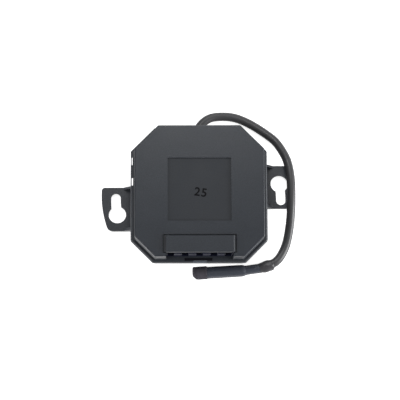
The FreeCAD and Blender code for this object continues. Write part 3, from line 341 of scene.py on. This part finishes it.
# %% Finishes
CASE_GRAIN = {"bump_mm": 0.018, "grain": 2600, "fleck": 1.0}
FINISHES = {
    "housing": plastic("housing_abs", (0.0240, 0.0280, 0.0350), 0.36, **CASE_GRAIN),
    "cover": plastic("cover_abs", (0.0130, 0.0170, 0.0240), 0.36, **CASE_GRAIN),
    "hood": plastic("hood_abs", (0.0190, 0.0230, 0.0300), 0.5, specular=0.4, **CASE_GRAIN),
    "terminal": plastic("terminal_nylon", (0.006, 0.008, 0.024), 0.4, 0.015, specular=0.3),
    "brass": metal("clamp_brass", (0.72, 0.50, 0.20), 0.3),
    "steel": metal("cage_zinc", (0.55, 0.56, 0.58), 0.35),
    "screw": metal("screw_zinc", (0.62, 0.62, 0.60), 0.3),
    "tin": metal("tinned_pin", (0.70, 0.70, 0.68), 0.3),
    "can": metal("can_tin", (0.68, 0.69, 0.70), 0.25, lines=300),
    "copper": metal("core_copper", (0.70, 0.30, 0.15), 0.3),
    "relay": plastic("relay_case", (0.020, 0.020, 0.022), 0.4, 0.01),
    "epoxy": plastic("part_epoxy", (0.022, 0.022, 0.024), 0.55, 0.02),
    "laminate": plastic(
        "board_varnish", (0.014, 0.090, 0.034), 0.3, 0.008, variation=0.3, grain=2500, cloud=400,
    ),
    "sleeve_blue": plastic("capacitor_sleeve", (0.020, 0.040, 0.120), 0.25, 0.005),
    "dropper": plastic("dropper_epoxy", (0.360, 0.050, 0.020), 0.4, 0.02),
    "varistor": plastic("varistor_dip", (0.030, 0.130, 0.380), 0.35, 0.03, grain=1500),
    "diode": plastic("diode_glass", (0.400, 0.080, 0.030), 0.15, 0.003),
    "button": plastic("button_abs", (0.150, 0.155, 0.160), 0.4, 0.01),
    "lamp": plastic("lamp_lens", (0.600, 0.640, 0.620), 0.12, 0.002),
    "lead": plastic(
        "lead_rubber", (0.050, 0.050, 0.053), 0.38, 0.012, variation=0.2, grain=3500, cloud=180,
        specular=0.42,
    ),
    "grommet": plastic("grommet_rubber", (0.022, 0.022, 0.023), 0.6, 0.02),
    "collar": plastic(
        "collar_shrink", (0.042, 0.041, 0.045), 0.4, 0.06, variation=0.35, grain=1400, cloud=260,
    ),
    "sleeve": plastic(
        "sleeve_shrink", (0.043, 0.049, 0.065), 0.27, 0.02, variation=0.3, grain=2200, cloud=160,
        specular=0.65,
    ),
    "cap": plastic(
        "cap_polymer", (0.058, 0.054, 0.065), 0.8, 0.05, variation=0.5, grain=1600, cloud=420, specular=0.2,
    ),
    # painted shade: near-black for the thin sheet that darkens the slot in the rim
    "shade_sheet": plastic("slot_shade_black", (0.003, 0.003, 0.006), 0.7, 0.004, specular=0.15),
    "ink": plastic("number_ink", (0.005, 0.005, 0.006), 0.9, 0.004, specular=0.15),
}
print("finishes:", len(FINISHES))

# %% [markdown]
# A solid has one material, but its finish isn't the same all over. The floor of the recess has a coarser
# grain than the face, so it looks more matt and darker. The ends of the raised cover are painted darker as
# painted shade, and the right end is also rougher. The small tab at the bottom of the rim is painted lighter
# as a painted highlight. Cutting the mesh there would draw edges that the object doesn't have, so a mask in
# the material marks each place: a box in the coordinates of the object.

# %% Places with another finish or painted light
# Each row is a finish, two corners in millimetres, and the factors for its lightness and its roughness.
PLACES = [
    ("cover", (-11.3, -10.9, 0), (11.3, 11.7, 21.8), 0.75, 1.6),
    # painted shade: the left end of the raised cover is darker, for the shade of its sloped side and the gap
    # beside it
    ("hood", (-14, -24, 19), (-11.8, -10, 23.1), 0.45, 1.3),
    # painted shade: the right end of the raised cover is darker, which damps the lamp's highlight there; its
    # greater roughness is a matt finish
    ("hood", (12.2, -24, 19), (14, -10, 23.1), 0.3, 2.2),
    # painted highlight: the small tab at the bottom of the rim is lighter
    ("housing", (-2.3, -24.7, 10), (2.6, -23.86, 12.6), 2.6, 0.9),
]


def spread_by(tree, mask, factor):
    """The factor where the mask is one, and one elsewhere."""
    return add_math(tree, "ADD", add_math(tree, "MULTIPLY", mask, factor - 1), 1)


def refinish(material, low, high, lightness, roughness):
    """Multiplies the colour and the roughness of a material between two corners, given in millimetres."""
    tree = material.node_tree
    principled = tree.nodes["Principled BSDF"]
    place = tree.nodes.new("ShaderNodeSeparateXYZ")
    tree.links.new(tree.nodes.new("ShaderNodeTexCoord").outputs["Object"], place.inputs["Vector"])
    mask = 1
    for axis, least, most in zip("XYZ", low, high):
        for operation, limit in (("GREATER_THAN", least), ("LESS_THAN", most)):
            side = add_math(tree, operation, place.outputs[axis], limit * MM)
            mask = add_math(tree, "MULTIPLY", side, mask)
    color = principled.inputs["Base Color"].links[0].from_socket
    rough = principled.inputs["Roughness"].links[0].from_socket
    new_color = tinted(tree, color, spread_by(tree, mask, lightness))
    tree.links.new(new_color, principled.inputs["Base Color"])
    new_rough = add_math(tree, "MULTIPLY", rough, spread_by(tree, mask, roughness))
    tree.links.new(new_rough, principled.inputs["Roughness"])


for finish, low, high, lightness, roughness in PLACES:
    refinish(FINISHES[finish], low, high, lightness, roughness)
print("places with another finish:", len(PLACES))

# %% [markdown]
# ## Dressing the CAD nodes
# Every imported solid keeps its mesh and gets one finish. They could be dressed one by one, but a table from
# the name of the solid to its finish reads at a glance, and it stops the script at a solid that it leaves
# out. The five screws and the five cages are alike, so they share a finish by the start of their names.

# %% Dress the CAD nodes
NODE_FINISH = {
    "base_shell": "housing",
    "front_cover": "cover",
    "terminal_cover": "hood",
    "terminal_block": "terminal",
    "terminal_lid": "terminal",
    "terminal_pins": "brass",
    "relay_up": "relay",
    "relay_down": "relay",
    "relay_pins": "tin",
    "voltage_regulator": "epoxy",
    "smoothing_capacitor": "sleeve_blue",
    "bridge_rectifier": "epoxy",
    "mains_fuse": "epoxy",
    "dropper_capacitor": "dropper",
    "surge_varistor": "varistor",
    "relay_diodes": "diode",
    "controller_chip": "epoxy",
    "chip_resistors": "epoxy",
    "radio_board": "laminate",
    "radio_pins": "tin",
    "radio_shield_can": "can",
    "radio_crystal": "can",
    "board_screws": "screw",
    "circuit_board": "laminate",
    "pairing_button": "button",
    "switch_stem": "relay",
    "pairing_switch": "relay",
    "status_led": "lamp",
    "light_pipe": "lamp",
    "lead_grommet": "grommet",
    "antenna_lead": "lead",
    "lead_core": "copper",
    "aerial_collar": "collar",
    "aerial_sleeve": "sleeve",
    "aerial_end_cap": "cap",
}


def node_finish(name):
    """The finish of a node, from the table or from the start of its name."""
    if name.startswith("terminal_screw"):
        return "screw"
    if name.startswith("clamp_cage"):
        return "steel"
    return NODE_FINISH[name]


def dress(piece, finish):
    """Gives a piece one of the finishes in place of what it had."""
    piece.data.materials.clear()
    piece.data.materials.append(FINISHES[finish])


for name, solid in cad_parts.items():
    dress(solid, node_finish(name))
print("dressed:", len(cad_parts))

# %% [markdown]
# ## The aerial lead
# A thin rubber lead holds the bend it was packed in, so its line is a loose curve and never an arc and a
# straight. A smooth spline gives that: it is pulled towards each point of the route without touching it. The
# route runs out of the housing, round the right side, over the lug and into the swelling of the tip.

# %% Aerial lead
LEAD_DIAMETER = 3.15
LEAD_ROUTE = [
    (-1.0, 19.22, 4.2),
    (-1.0, 23.17, 4.2),
    (0.5, 26.82, 4.0),
    (3.4, 29.45, 3.5),
    (6.95, 30.5, 2.8),
    (13.15, 30.45, 2.0),
    (19.1, 27.95, 1.6),
    (24.95, 24.12, 1.6),
    (29.1, 20.65, 2.1),
    (33.45, 11.5, 5.6),
    (33.58, -4.3, 5.6),
    (32.5, -14.1, 1.9),
    (31.0, -18.8, 1.6),
    (28.15, -23.25, 2.0),
    (23.3, -25.0, 2.2),
    (18.0, -26.15, 2.2),
    (8.0, -26.75, 2.25),
    (-1.0, -27.23, 2.25),
]


def spline_piece(name, route, radius):
    """A round cord along a smooth spline whose control points are the route."""
    line = bpy.data.curves.new(name, "CURVE")
    line.dimensions = "3D"
    spline = line.splines.new("NURBS")
    spline.points.add(len(route) - 1)
    for point, spot in zip(spline.points, route):
        point.co = (*(c * MM for c in spot), 1)
    spline.order_u = 3
    spline.use_endpoint_u = True
    spline.resolution_u = 12
    line.bevel_depth = radius * MM
    line.bevel_resolution = 8
    line.use_fill_caps = True
    piece = bpy.data.objects.new(name, line)
    bpy.context.scene.collection.objects.link(piece)
    return piece


def centreline(piece):
    """Points read along the spline, with its thickness put aside for the moment."""
    depth = piece.data.bevel_depth
    piece.data.bevel_depth = 0
    bare = bpy.data.meshes.new_from_object(piece)
    piece.data.bevel_depth = depth
    spots = [vertex.co.copy() for vertex in bare.vertices]
    bpy.data.meshes.remove(bare)
    return spots


lead = spline_piece("lead_jacket", LEAD_ROUTE, LEAD_DIAMETER / 2)
dress(lead, "lead")
lead_line = centreline(lead)
lead_length = sum((b - a).length for a, b in zip(lead_line, lead_line[1:]))
print("lead length in mm:", round(lead_length / MM, 1))

# %% [markdown]
# ## The tip of the lead
# The tip is a rod under a shrunken sleeve. Where the sleeve grips the lead it swells and wrinkles, then it
# narrows to a neck, and the rod begins with a shoulder. The far end is closed by a browner cap. They follow
# one another along a line that bends a little, so each of the four has a place of its own.

# %% Places along the tip
SWELLING_START = Vector((26.9, -24.0, 2.25)) * MM
NECK_START = Vector((22.0, -25.4, 2.2)) * MM
ROD_START = Vector((15.9, -26.26, 2.22)) * MM
ROD_END = Vector((-1.0, -27.23, 2.25)) * MM
CAP_LENGTH = 4.8
CAP_PAST_ROD = 0.9

swelling_line = NECK_START - SWELLING_START
swelling_length = swelling_line.length / MM
neck_line = ROD_START - NECK_START
neck_length = neck_line.length / MM
rod_line = ROD_END - ROD_START
rod_way = rod_line.normalized()
rod_length = rod_line.length / MM + CAP_PAST_ROD - CAP_LENGTH
CAP_MOUTH = ROD_START + rod_way * rod_length * MM
print("collar", round(swelling_length, 2), "neck", round(neck_length, 2), "rod", round(rod_length, 2))

# %% [markdown]
# A sphere or a plain cylinder would miss the shoulder and the soft swell, so each of the four is turned from
# a ring, as on a lathe. A profile is a list of distances along the piece and of radii there.

# %% Swelling, neck, rod and cap
COLLAR_RADIUS = 1.74
COLLAR_BULGE = [  # shares of the length and of the radius
    (0, 0.84), (0.03, 1.04), (0.1, 1.1), (0.2, 1.14), (0.3, 1.18), (0.4, 1.22), (0.5, 1.22), (0.6, 1.19),
    (0.7, 1.14), (0.8, 1.08), (0.9, 1.03), (1, 1.0),
]
COLLAR_PROFILE = [(share * swelling_length, size * COLLAR_RADIUS) for share, size in COLLAR_BULGE]
NECK_PROFILE = [(-0.5, 1.74), (0, 1.75), (neck_length * 0.5, 1.71), (neck_length, 1.74)]
ROD_PROFILE = [
    (-1.3, 1.66), (-0.9, 1.76), (-0.5, 1.93), (-0.1, 2.07), (0.4, 2.13), (3, 2.15),
    (rod_length - 0.1, 2.15), (rod_length, 2.0),
]
CAP_PROFILE = [
    (-0.25, 1.95), (0.3, 2.24), (0.5, 2.24), (0.75, 2.18), (1.2, 2.19), (2.2, 2.21), (3.2, 2.21),
    (4.0, 2.16), (4.5, 2.0), (4.8, 1.78), (5.02, 1.5), (5.15, 1.1), (5.2, 0.7), (5.2, 0.3),
]

collar = turned("shrunk_collar", COLLAR_PROFILE, SWELLING_START, swelling_line)
neck = turned("sleeve_neck", NECK_PROFILE, NECK_START, neck_line)
rod = turned("sleeve_rod", ROD_PROFILE, ROD_START, rod_line)
cap = turned("closing_cap", CAP_PROFILE, CAP_MOUTH, rod_line)
print("turned:", [piece.name for piece in (collar, neck, rod, cap)])

# %% [markdown]
# The end of the cap was pressed shut, so it isn't round: it is square on the side of the housing and well
# rounded on the other. A turned form can't show that, but a few presses can. Each press takes the points
# between two distances along the cap that lie beyond a distance from its axis, and moves them towards the
# housing or away from it.

# %% Pressed end of the cap
# Each row is the two distances along the cap, the distance from its axis, and the step towards the housing.
CAP_PRESSES = [
    (-1, 6, 1.0, 0.12),
    (-1, 6, 1.7, 0.12),
    (-1, 3.6, -1.4, -0.08),
    (4.2, 6, -0.3, 0.38),
    (4.2, 6, 0.9, 0.22),
    (4.7, 6, 0.9, 0.15),
    (4.9, 6, 0.9, 0.25),
]


def push(piece, choose, step):
    """Moves the points of a mesh that the choice accepts."""
    only(piece)
    bpy.ops.object.mode_set(mode="EDIT")
    bpy.ops.mesh.select_all(action="DESELECT")
    bpy.ops.object.mode_set(mode="OBJECT")
    for vertex in piece.data.vertices:
        vertex.select = choose(vertex.co)
    bpy.ops.object.mode_set(mode="EDIT")
    bpy.ops.transform.translate(value=step)
    bpy.ops.object.mode_set(mode="OBJECT")


def lies_in(spot, after, before, side):
    """Tells whether a point of the cap lies between two distances and beyond a distance from the axis."""
    away = (spot - CAP_MOUTH) / MM
    along = away.dot(rod_way)
    aside = away.y - along * rod_way.y
    return after < along < before and (aside > side if side > 0 else aside < side)


for after, before, side, step in CAP_PRESSES:
    push(cap, lambda spot: lies_in(spot, after, before, side), Vector((0, step, 0)) * MM)
print("pressed the cap:", len(CAP_PRESSES), "times")

# %% [markdown]
# A sleeve that was shrunk over something uneven shows it as soft lumps. They could be sculpted, but a
# Displace modifier with a cloud texture gives the same uneven swell, and once it is applied the lumps are
# real geometry.

# %% Lumps of the shrunken skin
# Each row is a piece, and the size and the height of its lumps in millimetres.
LUMPS = [
    (collar, 1.5, 0.4),
    (neck, 2.5, 0.15),
]


def lumpy(piece, size_mm, height_mm):
    """Lifts and sinks the skin of a piece by soft noise."""
    noise = bpy.data.textures.new(f"{piece.name}_lumps", "CLOUDS")
    noise.noise_scale = size_mm * MM
    noise.noise_depth = 1
    lift = piece.modifiers.new("lumps", "DISPLACE")
    lift.texture = noise
    lift.texture_coords = "LOCAL"
    lift.strength = height_mm * MM
    lift.mid_level = 0.5
    only(piece)
    bpy.ops.object.modifier_apply(modifier=lift.name)


for piece, size_mm, height_mm in LUMPS:
    lumpy(piece, size_mm, height_mm)
for piece in (collar, neck, rod, cap):
    lowest = min(vertex.co.z for vertex in piece.data.vertices)
    print(piece.name, "lowest point in mm:", round(lowest / MM, 3))

# %% [markdown]
# The lead and its tip lie still beside the housing, so all five pieces ride it. Four of them stand in for the
# plainer solids of the CAD model, and the neck goes with the rod.

# %% Finish and body of the lead
for piece, finish in ((collar, "collar"), (neck, "sleeve"), (rod, "sleeve"), (cap, "cap")):
    smooth(piece)
    dress(piece, finish)

for piece in (lead, collar, neck, rod, cap):
    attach(piece, "housing")
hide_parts("antenna_lead")
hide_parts("aerial_collar")
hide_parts("aerial_sleeve")
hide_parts("aerial_end_cap")
print("riding the housing:", [piece.name for piece in (lead, collar, neck, rod, cap)])

# %% [markdown]
# ## Painted shade over the rim's slot
# Below the wire entries there is a slot in the rim. A near-black flat bar, a tenth of a millimetre thick,
# lies over it as painted shade, so that from above the slot shows as one black bar.

# %% Painted shade over the slot
RIM_LEVEL = 12.3
SLOT_SHADE_PLACE = Vector((-0.32, -23.34, RIM_LEVEL + 0.03)) * MM
SLOT_SHADE_SIZE = Vector((9.85, 1.02, 0.1)) * MM
bpy.ops.object.select_all(action="DESELECT")
bpy.ops.mesh.primitive_cube_add(size=1, location=SLOT_SHADE_PLACE)
shade_sheet = bpy.context.object
shade_sheet.name = "painted_slot_shade"
bpy.ops.transform.resize(value=SLOT_SHADE_SIZE)
settle(shade_sheet)
dress(shade_sheet, "shade_sheet")
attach(shade_sheet, "housing")
print("tongue in mm:", [round(c / MM, 2) for c in shade_sheet.dimensions])

# %% [markdown]
# ## Mould number
# The recess in the face carries a small two-figure mould number in dark ink, a little turned clockwise. It
# could be a picture on the plastic, but letters of a tenth of a millimetre stay sharp at any distance. The
# text becomes a mesh before its place is applied, and its relief stays below the face.

# %% Mould number
NUMBER_PLACE = Vector((0.4, -0.8, 21.56)) * MM
NUMBER_TURN = math.radians(-9)
NUMBER_HEIGHT = 4.2 * MM
NUMBER_RELIEF = 0.05 * MM
NUMBER_WEIGHT = 0.06 * MM
NUMBER_SPACING = 1.15
bpy.ops.object.select_all(action="DESELECT")
bpy.ops.object.text_add(location=NUMBER_PLACE, rotation=(0, 0, NUMBER_TURN))
number = bpy.context.object
number.name = "mould_number"
number.data.body = "25"
number.data.size = NUMBER_HEIGHT
number.data.align_x = "CENTER"
number.data.align_y = "CENTER"
number.data.extrude = NUMBER_RELIEF
number.data.offset = NUMBER_WEIGHT
number.data.space_character = NUMBER_SPACING
bpy.ops.object.convert(target="MESH")
settle(number)
dress(number, "ink")
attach(number, "housing")
print("number box in mm:", [round(c / MM, 2) for c in number.dimensions])

# %% [markdown]
# ## Floor
# The object lies on a plain white sheet. More light would make the sheet white and the object too light with
# it. So the sheet is drawn a little brighter to the camera than the lamps alone would make it, and fainter to
# reflections: the background comes out white, while the shadow below the object stays.

# %% Floor
SHEET_SIZE = 3
SHEET_COLOR = (0.9, 0.9, 0.9, 1)
GLOW_TO_CAMERA = 0.85
GLOW_IN_REFLECTIONS = 0.3

bpy.ops.object.select_all(action="DESELECT")
bpy.ops.mesh.primitive_plane_add(size=SHEET_SIZE, location=(0, 0, 0))
floor = bpy.context.object
floor.name = "white_sheet"
sheet = bpy.data.materials.new("white_sheet")
sheet.use_nodes = True
tree = sheet.node_tree
tree.nodes.clear()
path = tree.nodes.new("ShaderNodeLightPath")
matt = tree.nodes.new("ShaderNodeBsdfDiffuse")
matt.inputs["Color"].default_value = SHEET_COLOR
glow = tree.nodes.new("ShaderNodeEmission")
glow.inputs["Color"].default_value = (1, 1, 1, 1)
mirrored = add_math(tree, "MAXIMUM", path.outputs["Is Glossy Ray"], path.outputs["Is Transmission Ray"])
to_camera = add_math(tree, "MULTIPLY", path.outputs["Is Camera Ray"], GLOW_TO_CAMERA)
to_mirror = add_math(tree, "MULTIPLY", mirrored, GLOW_IN_REFLECTIONS)
tree.links.new(add_math(tree, "MAXIMUM", to_camera, to_mirror), glow.inputs["Strength"])
matt_and_glow = tree.nodes.new("ShaderNodeAddShader")
tree.links.new(matt.outputs["BSDF"], matt_and_glow.inputs[0])
tree.links.new(glow.outputs["Emission"], matt_and_glow.inputs[1])
sheet_output = tree.nodes.new("ShaderNodeOutputMaterial")
tree.links.new(matt_and_glow.outputs["Shader"], sheet_output.inputs["Surface"])
floor.data.materials.append(sheet)
print("floor:", floor.name)

# %% [markdown]
# ## Lamps and surroundings
# The light in the photograph is soft and comes from all round, most of it from low on the right and on the
# left, which is what makes the slopes of the housing stand out from its face. A pale world fills the shadows,
# and four square lamps face the object. The camera doesn't see them.

# %% Lamps and surroundings
WORLD_STRENGTH = 0.3
LAMPS = {  # place and size in metres, power in watts
    "softbox_above": ((0.0, 0.21, 0.4), 0.15, 0.6),
    "softbox_left": ((-0.66, -0.24, 0.3), 0.4, 3.6),
    "softbox_right": ((0.76, -0.16, 0.2), 0.4, 8.5),
    "softbox_back": ((0.1, 0.8, 0.45), 0.4, 1.0),
}

world = bpy.context.scene.world or bpy.data.worlds.new("studio")
bpy.context.scene.world = world
world.use_nodes = True
world.node_tree.nodes["Background"].inputs["Color"].default_value = (1, 1, 1, 1)
world.node_tree.nodes["Background"].inputs["Strength"].default_value = WORLD_STRENGTH

for name, (spot, size, power) in LAMPS.items():
    bpy.ops.object.select_all(action="DESELECT")
    bpy.ops.object.light_add(type="AREA", location=spot)
    lamp = bpy.context.object
    lamp.name = name
    lamp.data.shape = "SQUARE"
    lamp.data.size = size
    lamp.data.energy = power
    lamp.visible_camera = False
    lamp.rotation_euler = Vector(spot).to_track_quat("Z", "Y").to_euler()
print("lamps:", list(LAMPS))

bpy.context.scene.view_settings.view_transform = "Standard"
